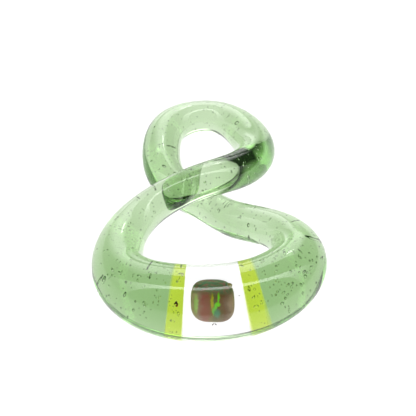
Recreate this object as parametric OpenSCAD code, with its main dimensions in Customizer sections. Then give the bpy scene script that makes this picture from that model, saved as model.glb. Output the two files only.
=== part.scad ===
// Figure-eight pendant of fused glass: one closed ring of tapering rod that crosses over itself.
// Two green seeded-glass arms, two coloured bands and a clear window that encases an opal.
// Millimetres, +Z up. The pendant lies flat, with its thick front rod towards -Y, and the
// origin is on the surface below the middle of its outline.

/* [Rod] */
// Diameter of the rod at the front, where it is thickest; the ring's whole route scales with it
front_d = 15; // [10:0.5:20]
// Height of the upper strand above the surface where the strands cross, in front rod diameters
cross_lift = 0.53; // [0.53:0.01:0.6]

/* [Bands and window] */
// Length of the clear window along the rod
window_len = 11.8; // [10:0.1:13]
// Length of the left band along the rod
left_band_len = 2.8; // [2:0.1:5]
// Length of the right band along the rod
right_band_len = 3.4; // [2:0.1:5]
// How far the middle of the window lies beyond the opal, along the rod
window_shift = 0.4; // [-1:0.1:1]

/* [Opal] */
// Length of the opal along the rod
opal_len = 8.2; // [5:0.1:9]
// Height of the opal
opal_h = 6.2; // [3:0.1:7]
// Thickness of the opal, front to back
opal_t = 4.2; // [2:0.1:5]
// How boxy the opal is: 2 is an ellipsoid and higher values have squarer corners
opal_power = 3; // [2:0.1:8]
// How far the opal lies above the middle of the rod
opal_rise = 0.7; // [0:0.1:1]

/* [Hidden] */

base_d = 15;
scale_k = front_d / base_d;
rod_sides = 40;
rings_per_span = 7;
opal_sides = 32;
top_gap = base_d * cross_lift;
corrections = 14;
correction_step = 1.5;

// Stations that the rod passes through, counter-clockwise from the middle of the front:
// x, y, clearance below the rod, diameter. All are for a front diameter of base_d.
STATIONS = [
    [0.8, -28, 0, 15],
    [10.7, -26.3, 1.6, 14.2],
    [17.3, -19.2, 3.6, 11.8],
    [14.3, -9.8, 4.4, 8.2],
    [6.1, -4.2, 2.5, 7.6],
    [-0.5, 3, 0.2, 7.1],
    [-8, 9.7, 0.1, 7.8],
    [-10.3, 19.6, 0.1, 8.3],
    [-7.5, 29, 0.1, 7.7],
    [1.8, 31.5, 0.2, 7.2],
    [8.5, 24.3, 0.5, 8.5],
    [10, 14.7, 3.3, 8.2],
    [5.8, 6.2, top_gap - 1.2, 7.8],
    [-2.6, 1.2, top_gap, 7.3],
    [-11.6, -2.3, top_gap - 3.3, 7.5],
    [-17.2, -10.6, 2.6, 9.2],
    [-16.8, -20.5, 1.2, 11.7],
    [-9.3, -26.9, 0.5, 14.2],
];
COUNT = len(STATIONS);

// Each station as centre x, centre y, centre z and diameter
CENTRES = [for (s = STATIONS) scale_k * [s[0], s[1], s[2] + s[3] / 2, s[3]]];

// Control points of the closed cubic B-spline through the centres, found by repeated correction
function pull(c, i) = (c[(i + COUNT - 1) % COUNT] + 4 * c[i] + c[(i + 1) % COUNT]) / 6;
function sharpen(c, turns) = turns == 0 ? c
    : sharpen([for (i = [0:COUNT - 1]) c[i] + correction_step * (CENTRES[i] - pull(c, i))],
        turns - 1);
CONTROL = sharpen(CENTRES, corrections);

// Point of the rod at t, where one unit of t is one station: centre x, y, z and diameter
function rod_at(t) =
    let (
        i = floor(t),
        f = t - i,
        c = [for (k = [-1:2]) CONTROL[(i + k + 2 * COUNT) % COUNT]]
    )
    (pow(1 - f, 3) * c[0] + (3 * pow(f, 3) - 6 * f * f + 4) * c[1]
        + (3 * f + 3 * f * f - 3 * pow(f, 3) + 1) * c[2] + pow(f, 3) * c[3]) / 6;
function centre_at(t) = let (p = rod_at(t)) [p[0], p[1], p[2]];
function along_at(t) = let (d = centre_at(t + 0.01) - centre_at(t - 0.01)) d / norm(d);

rate = norm(centre_at(0.05) - centre_at(-0.05)) / 0.1;

// Cuts across the rod: t, then how far the cut leans along the rod for each unit towards the
// rod's right-hand side and for each unit up. The arms meet at the back.
WINDOW_START = [(window_shift - window_len / 2) / rate, 0.05, 0];
WINDOW_END = [(window_shift + window_len / 2) / rate, -0.07, 0];
LEFT_BAND_START = WINDOW_START + [-left_band_len / rate, 0.04, 0.03];
RIGHT_BAND_END = WINDOW_END + [right_band_len / rate, -0.11, -0.02];
WELD = [9, 0, 0];
ONE_TURN = [COUNT, 0, 0];

// Point on the skin of the rod at t, at an angle round it
function skin_at(t, angle) =
    let (
        along = along_at(t),
        side_raw = cross(along, [0, 0, 1]),
        side = side_raw / norm(side_raw),
        up = cross(side, along)
    )
    centre_at(t) + rod_at(t)[3] / 2 * (cos(angle) * side + sin(angle) * up);

// Ring of points round a cut
function ring(cut) =
    let (reach = rod_at(cut[0])[3] / 2 / rate)
    [for (k = [0:rod_sides - 1])
        let (angle = 360 * k / rod_sides)
        skin_at(cut[0] + reach * (cut[1] * cos(angle) + cut[2] * sin(angle)), angle)];

// Closed solid skinned over rings of points, with a middle point for each end
module skinned(rings, first_middle, last_middle) {
    sides = len(rings[0]);
    last = (len(rings) - 1) * sides;
    middle = last + sides;
    ends = [for (k = [0:sides - 1])
        let (n = (k + 1) % sides)
        each [[k, n, middle], [last + n, last + k, middle + 1]]];
    walls = [for (j = [0:len(rings) - 2], k = [0:sides - 1])
        let (a = j * sides + k, b = j * sides + (k + 1) % sides)
        each [[a, a + sides, b], [b, a + sides, b + sides]]];
    polyhedron(concat([for (r = rings) each r], [first_middle, last_middle]), concat(ends, walls));
}

// Closed length of rod between two cuts
module rod(start, end) {
    steps = max(2, ceil((end[0] - start[0]) * rings_per_span));
    rings = [for (j = [0:steps]) ring(start + (end - start) * j / steps)];
    skinned(rings, centre_at(start[0]), centre_at(end[0]));
}

// Softly rounded block in the front rod
module opal_body() {
    half = [opal_len, opal_t, opal_h] / 2;
    turn = 360 / opal_sides;
    rings = [for (lift = [-90 + turn:turn:90 - turn])
        [for (k = [0:opal_sides - 1])
            let (
                d = [cos(lift) * cos(k * turn), cos(lift) * sin(k * turn), sin(lift)],
                reach = pow(pow(abs(d[0]), opal_power) + pow(abs(d[1]), opal_power)
                    + pow(abs(d[2]), opal_power), -1 / opal_power)
            )
            [half[0] * d[0], half[1] * d[1], half[2] * d[2]] * reach]];
    translate(centre_at(0) + [0, 0, opal_rise])
        skinned(rings, [0, 0, -half[2]], [0, 0, half[2]]);
}

module left_arm() {
    color([0.56, 0.74, 0.52, 0.6]) rod(WELD, LEFT_BAND_START + ONE_TURN);
}

module right_arm() {
    color([0.56, 0.74, 0.52, 0.6]) rod(RIGHT_BAND_END, WELD);
}

module left_band() {
    color([0.66, 0.77, 0.2, 0.8]) rod(LEFT_BAND_START, WINDOW_START);
}

module right_band() {
    color([0.66, 0.77, 0.2, 0.8]) rod(WINDOW_END, RIGHT_BAND_END);
}

module clear_window() {
    color([0.95, 0.96, 0.96, 0.3])
        difference() {
            rod(WINDOW_START, WINDOW_END);
            opal_body();
        }
}

module opal() {
    color([0.45, 0.35, 0.28]) opal_body();
}

left_arm();
right_arm();
left_band();
right_band();
clear_window();
opal();
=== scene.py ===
"""Figure-eight pendant of fused seeded glass, on a pale floor in soft light. Metres, +Z up."""

import math
import random

import bmesh
import bpy
import numpy as np
from mathutils import Matrix, Vector


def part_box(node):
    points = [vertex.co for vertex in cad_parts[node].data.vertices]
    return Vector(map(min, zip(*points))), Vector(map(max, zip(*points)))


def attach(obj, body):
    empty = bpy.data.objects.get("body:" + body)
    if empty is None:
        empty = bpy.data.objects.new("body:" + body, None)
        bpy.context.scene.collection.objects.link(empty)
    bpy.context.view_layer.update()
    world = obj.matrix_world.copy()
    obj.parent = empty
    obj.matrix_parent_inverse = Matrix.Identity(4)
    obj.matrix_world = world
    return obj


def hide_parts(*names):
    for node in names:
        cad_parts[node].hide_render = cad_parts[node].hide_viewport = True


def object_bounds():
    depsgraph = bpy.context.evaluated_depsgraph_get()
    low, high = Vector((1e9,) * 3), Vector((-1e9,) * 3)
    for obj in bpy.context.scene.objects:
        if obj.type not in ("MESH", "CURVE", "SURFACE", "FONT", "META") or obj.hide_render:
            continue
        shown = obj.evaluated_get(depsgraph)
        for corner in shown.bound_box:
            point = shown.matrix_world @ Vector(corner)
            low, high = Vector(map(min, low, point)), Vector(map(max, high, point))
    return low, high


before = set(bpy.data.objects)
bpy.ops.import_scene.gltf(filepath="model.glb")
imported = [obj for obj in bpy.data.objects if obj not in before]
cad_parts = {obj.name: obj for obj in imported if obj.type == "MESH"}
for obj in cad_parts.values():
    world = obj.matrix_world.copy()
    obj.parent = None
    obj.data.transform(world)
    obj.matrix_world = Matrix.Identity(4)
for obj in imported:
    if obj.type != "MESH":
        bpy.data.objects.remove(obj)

CAD_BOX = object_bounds()
MM = 0.001

# ---------------------------------------------------------------- the rod's route, as in part.scad

FRONT_D = 15
TOP_GAP = 0.53 * FRONT_D
# x, y, clearance below the rod and diameter, in millimetres, counter-clockwise from the front
STATIONS = [
    (0.8, -28, 0, FRONT_D),
    (10.7, -26.3, 1.6, 14.2),
    (17.3, -19.2, 3.6, 11.8),
    (14.3, -9.8, 4.4, 8.2),
    (6.1, -4.2, 2.5, 7.6),
    (-0.5, 3, 0.2, 7.1),
    (-8, 9.7, 0.1, 7.8),
    (-10.3, 19.6, 0.1, 8.3),
    (-7.5, 29, 0.1, 7.7),
    (1.8, 31.5, 0.2, 7.2),
    (8.5, 24.3, 0.5, 8.5),
    (10, 14.7, 3.3, 8.2),
    (5.8, 6.2, TOP_GAP - 1.2, 7.8),
    (-2.6, 1.2, TOP_GAP, 7.3),
    (-11.6, -2.3, TOP_GAP - 3.3, 7.5),
    (-17.2, -10.6, 2.6, 9.2),
    (-16.8, -20.5, 1.2, 11.7),
    (-9.3, -26.9, 0.5, 14.2),
]
COUNT = len(STATIONS)
CORRECTIONS = 14
CORRECTION_STEP = 1.5


def control_points():
    """Control points of the closed cubic B-spline that passes through the stations."""
    centres = np.array([(x, y, low + dia / 2, dia) for x, y, low, dia in STATIONS]) * MM
    control = centres.copy()
    for _ in range(CORRECTIONS):
        pulled = (np.roll(control, 1, 0) + 4 * control + np.roll(control, -1, 0)) / 6
        control += CORRECTION_STEP * (centres - pulled)
    return control.tolist()


CONTROL = control_points()


def rod_at(t):
    """Centre and diameter of the rod at t, where one unit of t is one station."""
    i = math.floor(t)
    f = t - i
    c = [CONTROL[(i + k) % COUNT] for k in (-1, 0, 1, 2)]
    weights = ((1 - f) ** 3, 3 * f**3 - 6 * f * f + 4, 3 * f + 3 * f * f - 3 * f**3 + 1, f**3)
    x, y, z, dia = (sum(w * p[n] for w, p in zip(weights, c)) / 6 for n in range(4))
    return Vector((x, y, z)), dia


def chord(t, step):
    """From the rod's centre a step of t before t to its centre a step after."""
    return rod_at(t + step)[0] - rod_at(t - step)[0]


def frame_at(t):
    """Centre, radius, and the directions along, sideways and up across the rod at t."""
    centre, dia = rod_at(t)
    along = chord(t, 0.01).normalized()
    side = along.cross(Vector((0, 0, 1))).normalized()
    return centre, dia / 2, along, side, side.cross(along)


# Millimetres along the rod for each unit of t at the middle of the front
RATE_STEP = 0.05
RATE = chord(0, RATE_STEP).length / (2 * RATE_STEP) / MM

# All in millimetres along the rod; the gap keeps the faces of neighbouring glasses apart
WINDOW_LENGTH, WINDOW_SHIFT = 11.8, 0.4
LEFT_BAND_LENGTH, RIGHT_BAND_LENGTH = 2.8, 3.4
JOIN_GAP = 0.02

# Cuts across the rod: t, then how far the cut leans along the rod for each unit towards the
# rod's right-hand side and for each unit up. The arms meet at the back.
WINDOW_START = np.array(((WINDOW_SHIFT - WINDOW_LENGTH / 2) / RATE, 0.05, 0))
WINDOW_END = np.array(((WINDOW_SHIFT + WINDOW_LENGTH / 2) / RATE, -0.07, 0))
LEFT_BAND_START = WINDOW_START + np.array((-LEFT_BAND_LENGTH / RATE, 0.04, 0.03))
RIGHT_BAND_END = WINDOW_END + np.array((RIGHT_BAND_LENGTH / RATE, -0.11, -0.02))
WELD = np.array((9, 0, 0))
ONE_TURN = np.array((COUNT, 0, 0))


# ---------------------------------------------------------------- meshes

ROD_SIDES = 96
RINGS_PER_SPAN = 30
FEWEST_RINGS = 6


def inside_point(t, turn, depth):
    """A point in the rod: an angle round it, and a depth from 0 at its middle to 1 at its skin."""
    centre, radius, along, side, up = frame_at(t)
    return centre + radius * depth * (math.cos(turn) * side + math.sin(turn) * up)


def slanted(t, degrees, slant):
    """A direction in the rod's skin, turned by slant from the rod's own direction."""
    _, _, along, side, up = frame_at(t)
    turn, slant = math.radians(degrees), math.radians(slant)
    around = math.cos(turn) * up - math.sin(turn) * side
    return math.cos(slant) * along + math.sin(slant) * around


def add_rod(bm, start, end):
    """A closed length of rod between two cuts, a little short at each end for the join gap."""
    trim = np.array((JOIN_GAP / 2 / RATE, 0, 0))
    start, end = start + trim, end - trim
    steps = max(FEWEST_RINGS, math.ceil((end[0] - start[0]) * RINGS_PER_SPAN))
    rings = []
    for j in range(steps + 1):
        t, side_lean, up_lean = (start + (end - start) * j / steps).tolist()
        reach = rod_at(t)[1] / 2 / MM / RATE
        ring = []
        for k in range(ROD_SIDES):
            turn = 2 * math.pi * k / ROD_SIDES
            shift = (side_lean * math.cos(turn) + up_lean * math.sin(turn)) * reach
            ring.append(bm.verts.new(inside_point(t + shift, turn, 1)))
        rings.append(ring)
    for a, b in zip(rings, rings[1:]):
        for k in range(ROD_SIDES):
            n = (k + 1) % ROD_SIDES
            bm.faces.new((a[k], b[k], b[n], a[n])).smooth = True
    # The caps are marked as joined, and their sharp edges keep the walls' shading straight
    joined = bm.faces.layers.float.new("joined")
    for cap in (rings[0], rings[-1][::-1]):
        middle = bm.verts.new(sum((v.co for v in cap), Vector()) / ROD_SIDES)
        for k in range(ROD_SIDES):
            edge = (cap[k], cap[(k + 1) % ROD_SIDES])
            bm.faces.new((*edge, middle))[joined] = 1.0
            bm.edges.get(edge).smooth = False


def unit_ball():
    """Points and inward-facing triangles of a ball of radius 1."""
    bm = bmesh.new()
    bmesh.ops.create_icosphere(bm, subdivisions=2, radius=1)
    points = [v.co.copy() for v in bm.verts]
    faces = [[v.index for v in reversed(f.verts)] for f in bm.faces]
    bm.free()
    return points, faces


BALL_POINTS, BALL_FACES = unit_ball()


def add_bubble(bm, centre, width, along, stretch):
    """A gas bubble: a closed shell that faces inwards, so that the glass ends at it."""
    turn = Vector((0, 0, 1)).rotation_difference(along).to_matrix()
    grow = turn @ Matrix.Diagonal((width / 2, width / 2, width / 2 * stretch))
    verts = [bm.verts.new(centre + grow @ point) for point in BALL_POINTS]
    for face in BALL_FACES:
        bm.faces.new([verts[i] for i in face]).smooth = True


def placed(marks):
    """The centre, width, direction and stretch of marks given along and round the rod."""
    for t, degrees, depth, width, stretch, slant in marks:
        centre = inside_point(t, math.radians(degrees), depth)
        yield centre, width * MM, slanted(t, degrees, slant), stretch


def new_piece(name, bm, material, slot, *nodes):
    """A finished piece that rides on the one body and stands for CAD nodes."""
    mesh = bpy.data.meshes.new(name)
    bm.to_mesh(mesh)
    bm.free()
    mesh.materials.append(material)
    piece = bpy.data.objects.new(name, mesh)
    bpy.context.scene.collection.objects.link(piece)
    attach(piece, "root")
    if nodes:
        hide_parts(*nodes)


# ---------------------------------------------------------------- node helpers


def shader_nodes(name):
    """A new node material, with its node tree and Principled shader."""
    material = bpy.data.materials.new(name)
    material.use_nodes = True
    return material, material.node_tree, material.node_tree.nodes["Principled BSDF"]


def new_node(tree, kind, inputs=(), **settings):
    """A node with some settings, and inputs given as values or as sockets to link from."""
    node = tree.nodes.new("ShaderNode" + kind)
    for key, value in settings.items():
        setattr(node, key, value)
    for key, value in dict(inputs).items():
        if isinstance(value, bpy.types.NodeSocket):
            tree.links.new(value, node.inputs[key])
        else:
            node.inputs[key].default_value = value
    return node


def math_of(tree, operation, *values):
    """The result of one sum on values or sockets."""
    return new_node(tree, "Math", dict(enumerate(values)), operation=operation).outputs[0]


def noise_of(tree, place, scale, detail):
    """Noise from 0 to 1 over a place."""
    inputs = {"Vector": place, "Scale": scale, "Detail": detail}
    return new_node(tree, "TexNoise", inputs).outputs["Fac"]


def step_of(tree, value, none, full):
    """A ramp that is 0 where a value is at its none mark and 1 where it is at its full mark."""
    return new_node(tree, "MapRange", {0: value, 1: none, 2: full, 3: 0.0, 4: 1.0}).outputs[0]


def inside(tree, edges):
    """A mask that is 1 where every value is past its full mark, 0 where one is short of none."""
    mask = 1.0
    for value, none, full in edges:
        mask = math_of(tree, "MULTIPLY", mask, step_of(tree, value, none, full))
    return mask


def spot(tree, x, y, at, radii, soft):
    """A soft-edged oval mask round a place."""
    reach = 0.0
    for value, middle, radius in zip((x, y), at, radii):
        off = math_of(tree, "DIVIDE", math_of(tree, "SUBTRACT", value, middle), radius)
        reach = math_of(tree, "ADD", reach, math_of(tree, "MULTIPLY", off, off))
    return step_of(tree, reach, 1 + soft, 1 - soft)


def mixed(tree, share, first, second):
    """One colour laid over another by a share from 0 to 1."""
    mix = new_node(tree, "Mix", {0: share, 6: first, 7: second}, data_type="RGBA")
    return mix.outputs[2]


def ramp_of(tree, value, stops):
    """A colour ramp over a value, from (position, (r, g, b)) stops."""
    node = new_node(tree, "ValToRGB", {"Fac": value})
    ramp = node.color_ramp
    while len(ramp.elements) < len(stops):
        ramp.elements.new(0.5)
    for element, (position, rgb) in zip(ramp.elements, stops):
        element.position = position
        element.color = (*rgb, 1)
    return node.outputs["Color"]


# ---------------------------------------------------------------- glass

# What a metre of each glass takes from red, green and blue
GREEN = (89, 52, 113)
CHARTREUSE = (54, 32, 205)
CLEAR = (0.6, 0.4, 0.5)
GLASS_INDEX = 1.5
RIPPLE_SCALE, RIPPLE_STRENGTH, RIPPLE_HEIGHT = 220, 0.02, 0.5 * MM


def glass(name, absorb):
    """Fire-polished glass with a faint ripple, whose index falls to 1 on the joined faces."""
    material, tree, shader = shader_nodes(name)
    shader.inputs["Base Color"].default_value = (1, 1, 1, 1)
    shader.inputs["Roughness"].default_value = 0.0
    shader.inputs["IOR"].default_value = GLASS_INDEX
    shader.inputs["Transmission Weight"].default_value = 1.0
    place = new_node(tree, "TexCoord").outputs["Object"]
    ripple = new_node(tree, "Bump", {
        "Strength": RIPPLE_STRENGTH,
        "Distance": RIPPLE_HEIGHT,
        "Height": noise_of(tree, place, RIPPLE_SCALE, 1),
    })
    tree.links.new(ripple.outputs["Normal"], shader.inputs["Normal"])
    joined = new_node(tree, "Attribute", attribute_name="joined").outputs["Fac"]
    index = math_of(tree, "MULTIPLY_ADD", joined, 1 - GLASS_INDEX, GLASS_INDEX)
    tree.links.new(index, shader.inputs["IOR"])
    density = max(absorb)
    volume = new_node(tree, "VolumeAbsorption", {
        "Color": (*[1 - a / density for a in absorb], 1),
        "Density": density,
    })
    tree.links.new(volume.outputs["Volume"], tree.nodes["Material Output"].inputs["Volume"])
    return material


# Scattered seeds: widths in mm, lengths over widths, how near they come to the ends of a glass
# in t and to its skin in mm, and the widest as a share of the rod's radius
SEED_WIDTHS = (0.14, 0.18, 0.18, 0.22, 0.22, 0.28, 0.34, 0.45)
SEED_STRETCHES = (1, 1, 1, 1.2, 1.5, 2.2)
SEED_END_GAP = 0.06
SEED_SKIN_GAP = 0.15
WIDEST_SEED = 0.07
ARM_SEEDS, LEFT_BAND_SEEDS, RIGHT_BAND_SEEDS = 400, 45, 30


def random_seeds(bm, t0, t1, count, rng):
    """Scatters small bubbles through a length of rod, more of them where it is thick."""
    made = 0
    while made < count:
        t = rng.uniform(t0 + SEED_END_GAP, t1 - SEED_END_GAP)
        _, radius, along, _, _ = frame_at(t)
        if rng.random() > (radius / (FRONT_D / 2 * MM)) ** 2:
            continue
        turn = rng.uniform(0, 2 * math.pi)
        width = min(rng.choice(SEED_WIDTHS) * MM, radius * WIDEST_SEED)
        stretch = rng.choice(SEED_STRETCHES)
        deepest = 1 - (width * stretch / 2 + SEED_SKIN_GAP * MM) / radius
        centre = inside_point(t, turn, deepest * math.sqrt(rng.random()))
        add_bubble(bm, centre, width, along, stretch)
        made += 1


# Seeds and fibres that stand out: t, degrees round the rod, depth towards the skin, width in mm,
# length over width, and degrees off the rod's direction
LEFT_SEEDS = [
    (9.9, 60, 0.7, 0.9, 1.3, 20),
    (10.15, 48, 0.7, 0.5, 1, 0),
    (9.7, 110, 0.8, 0.3, 1, 0),
    (11.3, 116, 0.8, 0.1, 16, 30),
    (11.4, 108, 0.8, 0.1, 14, 25),
    (11.45, 98, 0.8, 0.1, 12, 40),
    (13.1, 50, 0.8, 0.45, 1.4, 0),
    (15.05, 84, 0.85, 0.1, 24, 75),
    (15.7, 94, 0.8, 0.1, 18, 60),
    (16.25, 48, 0.85, 0.1, 22, 70),
    (16.3, 8, 0.85, 0.35, 1, 0),
    (16.35, 14, 0.85, 0.3, 1.5, 40),
    (16.55, 56, 0.85, 0.55, 1, 0),
    (16.7, 354, 0.85, 0.35, 2, 70),
    (16.8, 32, 0.85, 0.45, 1, 0),
    (16.95, 20, 0.85, 0.3, 1, 0),
    (17.05, 40, 0.85, 0.25, 2, 90),
    (17.12, 44, 0.85, 0.25, 2, 90),
]
RIGHT_SEEDS = [
    (1.1, 12, 0.85, 0.2, 3, 90),
    (1.15, 10, 0.85, 0.25, 1.5, 90),
    (1.0, 56, 0.8, 0.3, 1, 0),
    (1.76, 54, 0.85, 0.45, 1, 0),
    (1.8, 50, 0.85, 0.3, 2, 45),
    (1.86, 62, 0.85, 0.3, 1, 0),
    (1.95, 80, 0.85, 0.3, 1, 0),
    (2.8, 96, 0.8, 0.12, 8, 30),
    (3.2, 120, 0.8, 0.12, 10, 10),
    (6.2, 100, 0.75, 0.5, 2.2, 20),
    (7.6, 80, 0.8, 0.35, 1, 0),
    (8.7, 68, 0.8, 0.35, 1, 0),
    (8.8, 80, 0.8, 0.3, 1, 0),
]


def make_glass(node, start, end, material, slot, seeds=0, rng=None, marks=()):
    """The glass of one CAD node, with its scattered seeds and the marks that stand out."""
    bm = bmesh.new()
    add_rod(bm, start, end)
    random_seeds(bm, float(start[0]), float(end[0]), seeds, rng)
    for mark in placed(marks):
        add_bubble(bm, *mark)
    new_piece(node + "_glass", bm, material, slot, node)


def make_ring():
    """The five glasses of the ring."""
    green = glass("green_glass", GREEN)
    band = glass("band_glass", CHARTREUSE)
    clear = glass("clear_glass", CLEAR)
    rng = random.Random(7)
    make_glass("left_arm", WELD, LEFT_BAND_START + ONE_TURN, green, "green_glass",
               ARM_SEEDS, rng, LEFT_SEEDS)
    make_glass("right_arm", RIGHT_BAND_END, WELD, green, "green_glass",
               ARM_SEEDS, rng, RIGHT_SEEDS)
    make_glass("left_band", LEFT_BAND_START, WINDOW_START, band, "band_glass",
               LEFT_BAND_SEEDS, rng)
    make_glass("right_band", WINDOW_END, RIGHT_BAND_END, band, "band_glass",
               RIGHT_BAND_SEEDS, rng)
    make_glass("clear_window", WINDOW_START, WINDOW_END, clear, "clear_glass")


# ---------------------------------------------------------------- opal

OPAL_LOW, OPAL_HIGH = (Vector(corner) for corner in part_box("opal"))
OPAL_MIDDLE = (OPAL_LOW + OPAL_HIGH) / 2
OPAL_HALF = (OPAL_HIGH - OPAL_LOW) / 2
OPAL_POWER = 3
OPAL_CUTS = 15

# Colours across the stone from left to right
OPAL_BANDS = [
    (0.00, (0.75, 0.62, 0.42)),
    (0.08, (0.60, 0.52, 0.26)),
    (0.17, (0.52, 0.32, 0.22)),
    (0.27, (0.52, 0.15, 0.11)),
    (0.38, (0.45, 0.15, 0.08)),
    (0.46, (0.34, 0.24, 0.05)),
    (0.55, (0.18, 0.19, 0.05)),
    (0.66, (0.22, 0.16, 0.04)),
    (0.74, (0.26, 0.12, 0.05)),
    (0.86, (0.34, 0.22, 0.14)),
    (1.00, (0.80, 0.55, 0.40)),
]
OPAL_TOP = [
    (0.35, (0.34, 0.20, 0.13)),
    (0.5, (0.17, 0.30, 0.12)),
    (0.65, (0.09, 0.28, 0.14)),
]
OPAL_MOTTLE = (0.30, 0.26, 0.14, 1)
# Painted sheen: a paler colour laid over the stone where its surface turns away from the view
OPAL_RIM_SHEEN = (0.6, 0.5, 0.4, 1)
# Flashes: place across and down the front, radii, colour and softness of the edge
OPAL_FLASHES = [
    ((0.12, 0.55), (0.05, 0.18), (0.55, 0.85, 0.25, 1), 0.7),
    ((0.49, 0.50), (0.03, 0.17), (0.62, 0.62, 0.03, 1), 0.6),
    ((0.635, 0.42), (0.022, 0.12), (0.25, 0.90, 0.02, 1), 0.4),
    ((0.62, 0.55), (0.055, 0.05), (0.25, 1.0, 0.01, 1), 0.4),
    ((0.56, 0.62), (0.035, 0.08), (0.25, 0.95, 0.06, 1), 0.5),
    ((0.52, 0.70), (0.03, 0.08), (0.25, 0.80, 0.10, 1), 0.5),
    ((0.60, 0.74), (0.07, 0.08), (0.14, 0.42, 0.22, 1), 0.8),
]


def opal_material():
    """Dark translucent opal: blurred upright bands of mauve and brown, with sharp green flashes,
    and a painted sheen round its edges.
    """
    material, tree, shader = shader_nodes("opal_stone")
    unit = new_node(tree, "Mapping", {
        "Vector": new_node(tree, "TexCoord").outputs["Object"],
        "Location": [-m / h for m, h in zip(OPAL_MIDDLE, OPAL_HALF)],
        "Scale": [1 / h for h in OPAL_HALF],
    }).outputs[0]
    x, y, z = new_node(tree, "SeparateXYZ", {"Vector": unit}).outputs

    def across(noise, swing):
        """0 to 1 from left to right, with its edges moved about by noise."""
        nudge = math_of(tree, "MULTIPLY_ADD", noise, swing, -swing / 2)
        return math_of(tree, "ADD", math_of(tree, "MULTIPLY_ADD", x, 0.5, 0.5), nudge)

    # drop grows down the front, from its least at the back edge of the top
    drop = math_of(tree, "ADD", math_of(tree, "MULTIPLY_ADD", z, -0.32, 0.5),
                   math_of(tree, "MULTIPLY", y, -0.18))
    mottle = noise_of(tree, unit, 5.0, 4.0)
    blurred = across(noise_of(tree, unit, 1.6, 3.0), 0.3)
    ragged = across(noise_of(tree, unit, 7.0, 2.0), 0.08)
    bands = mixed(tree, math_of(tree, "MULTIPLY", mottle, 0.35),
                  ramp_of(tree, blurred, OPAL_BANDS), OPAL_MOTTLE)
    colour = mixed(tree, step_of(tree, drop, 0.36, 0.24), bands, ramp_of(tree, mottle, OPAL_TOP))
    for at, radii, flash, soft in OPAL_FLASHES:
        colour = mixed(tree, spot(tree, ragged, drop, at, radii, soft), colour, flash)
    # Painted sheen: the pale rim colour goes on by how far the surface turns from the view,
    # whatever lamp lights it
    rim = new_node(tree, "LayerWeight", {"Blend": 0.35}).outputs["Facing"]
    colour = mixed(tree, math_of(tree, "MULTIPLY", rim, 0.45), colour, OPAL_RIM_SHEEN)
    tree.links.new(colour, shader.inputs["Base Color"])
    shader.inputs["Roughness"].default_value = 0.35
    shader.inputs["Specular IOR Level"].default_value = 0.1
    return material


def make_opal():
    """A softly rounded block that fills the CAD stone's box."""
    bm = bmesh.new()
    bmesh.ops.create_cube(bm, size=2)
    bmesh.ops.subdivide_edges(bm, edges=bm.edges[:], cuts=OPAL_CUTS, use_grid_fill=True)
    for v in bm.verts:
        reach = sum(abs(c) ** OPAL_POWER for c in v.co) ** (1 / OPAL_POWER)
        v.co = Vector([c / reach * h for c, h in zip(v.co, OPAL_HALF)]) + OPAL_MIDDLE
    for f in bm.faces:
        f.smooth = True
    new_piece("opal_stone", bm, opal_material(), "opal", "opal")


# ---------------------------------------------------------------- specks

# Solid bits in the glass, given as the seeds are
LEFT_BAND_SPECK = [
    (-0.62, 46.5, 0.9, 0.5, 1, 0),
    (-0.6, 44.5, 0.9, 0.35, 1, 0),
    (-0.64, 44.5, 0.9, 0.3, 1, 0),
]
LEFT_BAND_DOT = [(-0.605, 42, 0.9, 0.45, 1, 0)]
RIGHT_BAND_DOT = [(0.74, 50, 0.9, 0.16, 1, 0)]
WINDOW_MARKS = [
    (-0.01, 13, 0.9, 0.2, 3, 50),
    (0.04, 13, 0.9, 0.2, 3, 130),
    (0.5, 55, 0.9, 0.2, 1, 0),
]
# The chip at the opal's upper right corner: its centre, width, direction and stretch
OPAL_CHIP = (OPAL_MIDDLE + Vector((3.3, 0.6, 2.5)) * MM, 0.8 * MM, Vector((1, 0, 0)), 1.3)


def speck_material(name, first, second):
    """A dull bit in the glass, mottled between two colours."""
    material, tree, shader = shader_nodes(name)
    place = new_node(tree, "TexCoord").outputs["Object"]
    mottle = noise_of(tree, place, 4000.0, 2.0)
    colour = ramp_of(tree, mottle, [(0.4, first), (0.6, second)])
    tree.links.new(colour, shader.inputs["Base Color"])
    shader.inputs["Roughness"].default_value = 0.6
    return material


def make_specks(name, material, slot, specks):
    """Solid bits as one piece: bubbles turned to face outwards."""
    bm = bmesh.new()
    for speck in specks:
        add_bubble(bm, *speck)
    bmesh.ops.reverse_faces(bm, faces=bm.faces[:])
    new_piece(name, bm, material, slot)


def make_all_specks():
    """The specks in the bands and the window, and the chip beside the opal."""
    black = speck_material("black_speck", (0.01, 0.004, 0.002), (0.12, 0.012, 0.006))
    orange = speck_material("orange_speck", (0.5, 0.13, 0.01), (0.25, 0.05, 0.01))
    olive = speck_material("olive_chip", (0.50, 0.50, 0.14), (0.30, 0.22, 0.08))
    make_specks("left_band_speck", black, "band_glass", placed(LEFT_BAND_SPECK))
    make_specks("left_band_dot", orange, "band_glass", placed(LEFT_BAND_DOT))
    make_specks("right_band_dot", black, "band_glass", placed(RIGHT_BAND_DOT))
    make_specks("window_marks", black, "clear_glass", placed(WINDOW_MARKS))
    make_specks("opal_chip", olive, "opal", [OPAL_CHIP])


# ---------------------------------------------------------------- floor, light and camera

FLOOR_REACH = 1.5
FLOOR_GAP = 0.02 * MM
FLOOR_GREY = (0.15, 0.15, 0.15, 1)
FLOOR_GLOW = 1.06

# Radiances in the world
ROOM_WHITE = (1.1, 1.1, 1.1)
ROOM_DARK = (0.055, 0.06, 0.06)
SOFT_BOX = (3.0, 3.0, 3.0, 1)
STRIP = (6.0, 6.0, 6.0, 1)
LOW_GLOW = (2.6, 2.6, 2.6, 1)
STRIP_BOW = 0.25

LAMP_SIZE = 0.06
LAMP_POWER = 0.09
LAMP_DISTANCE = 0.8
LAMP_DIRECTION = Vector((0.1, 0.76, 0.64))

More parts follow.
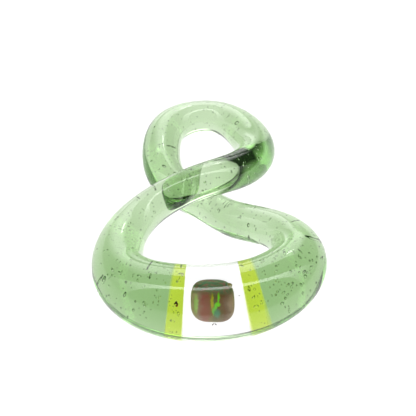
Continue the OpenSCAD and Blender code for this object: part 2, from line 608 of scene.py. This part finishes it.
CAMERA_ELEVATION = math.radians(44)
CAMERA_DISTANCE = 0.28
CAMERA_TARGET = Vector((-0.1, -1.3, 7)) * MM
CAMERA_LENS = 117.5
BOUNCES = 32
GLOSSY_BOUNCES = 16


def make_floor():
    """A plain pale floor that glows a little, just under the pendant."""
    height = CAD_BOX[0][2] - FLOOR_GAP
    corners = [(x * FLOOR_REACH, y * FLOOR_REACH, height)
               for x, y in ((-1, -1), (1, -1), (1, 1), (-1, 1))]
    mesh = bpy.data.meshes.new("floor")
    mesh.from_pydata(corners, [], [(0, 1, 2, 3)])
    material, _, shader = shader_nodes("floor")
    shader.inputs["Base Color"].default_value = FLOOR_GREY
    shader.inputs["Roughness"].default_value = 0.6
    shader.inputs["Specular IOR Level"].default_value = 0.0
    shader.inputs["Emission Color"].default_value = (1, 1, 1, 1)
    shader.inputs["Emission Strength"].default_value = FLOOR_GLOW
    mesh.materials.append(material)
    floor = bpy.data.objects.new("floor", mesh)
    bpy.context.scene.collection.objects.link(floor)


def make_world():
    """A tent, white low down and dark overhead and on its right-hand side.

    It has a low glow and a soft box behind, and a long strip that bows from side to side.
    """
    world = bpy.data.worlds.new("tent")
    bpy.context.scene.world = world
    world.use_nodes = True
    tree = world.node_tree
    place = new_node(tree, "TexCoord").outputs["Generated"]
    x, y, z = new_node(tree, "SeparateXYZ", {"Vector": place}).outputs
    sideways = math_of(tree, "ABSOLUTE", x)
    bow = math_of(tree, "MULTIPLY", STRIP_BOW, math_of(tree, "POWER", sideways, 3))
    off_line = math_of(tree, "SUBTRACT", math_of(tree, "ABSOLUTE", y), bow)
    light = ramp_of(tree, z, [(0.15, ROOM_WHITE), (0.25, ROOM_DARK)])
    for edges, colour in (
        ([(x, 0.1, 0.25), (z, 0.0, 0.1)], (*ROOM_DARK, 1)),
        ([(x, 0.1, -0.05), (x, -0.5, -0.35), (y, 0.4, 0.6), (z, 0.15, 0.08)], LOW_GLOW),
        ([(y, 0.4, 0.45), (z, 0.25, 0.29), (z, 0.74, 0.72), (x, -0.5, -0.15), (x, 0.35, 0.15)],
         SOFT_BOX),
        ([(off_line, 0.09, 0.05), (z, 0.1, 0.2), (sideways, 1.0, 0.3)], STRIP),
    ):
        light = mixed(tree, inside(tree, edges), light, colour)
    tree.links.new(light, tree.nodes["Background"].inputs["Color"])


def make_lamp():
    """A small square lamp behind, which makes the bright square on the far loop."""
    light = bpy.data.lights.new("lamp", "AREA")
    light.shape = "SQUARE"
    light.size = LAMP_SIZE
    light.energy = LAMP_POWER
    lamp = bpy.data.objects.new("lamp", light)
    lamp.location = LAMP_DISTANCE * LAMP_DIRECTION
    lamp.rotation_mode = "QUATERNION"
    lamp.rotation_quaternion = LAMP_DIRECTION.to_track_quat("Z", "Y")
    bpy.context.scene.collection.objects.link(lamp)


def make_camera():
    """The camera, in front of the pendant and looking down on it."""
    camera = bpy.data.cameras.new("camera")
    camera.sensor_width = 36
    camera.lens = CAMERA_LENS
    camera.clip_start = 0.01
    holder = bpy.data.objects.new("camera", camera)
    away = Vector((0, -math.cos(CAMERA_ELEVATION), math.sin(CAMERA_ELEVATION)))
    holder.location = CAMERA_TARGET + CAMERA_DISTANCE * away
    holder.rotation_euler = (math.pi / 2 - CAMERA_ELEVATION, 0, 0)
    bpy.context.scene.collection.objects.link(holder)
    bpy.context.scene.camera = holder


make_ring()
make_opal()
make_all_specks()
make_floor()
make_world()
make_lamp()
make_camera()
scene = bpy.context.scene
scene.view_settings.view_transform = "Standard"
scene.cycles.max_bounces = BOUNCES
scene.cycles.transmission_bounces = BOUNCES
scene.cycles.glossy_bounces = GLOSSY_BOUNCES
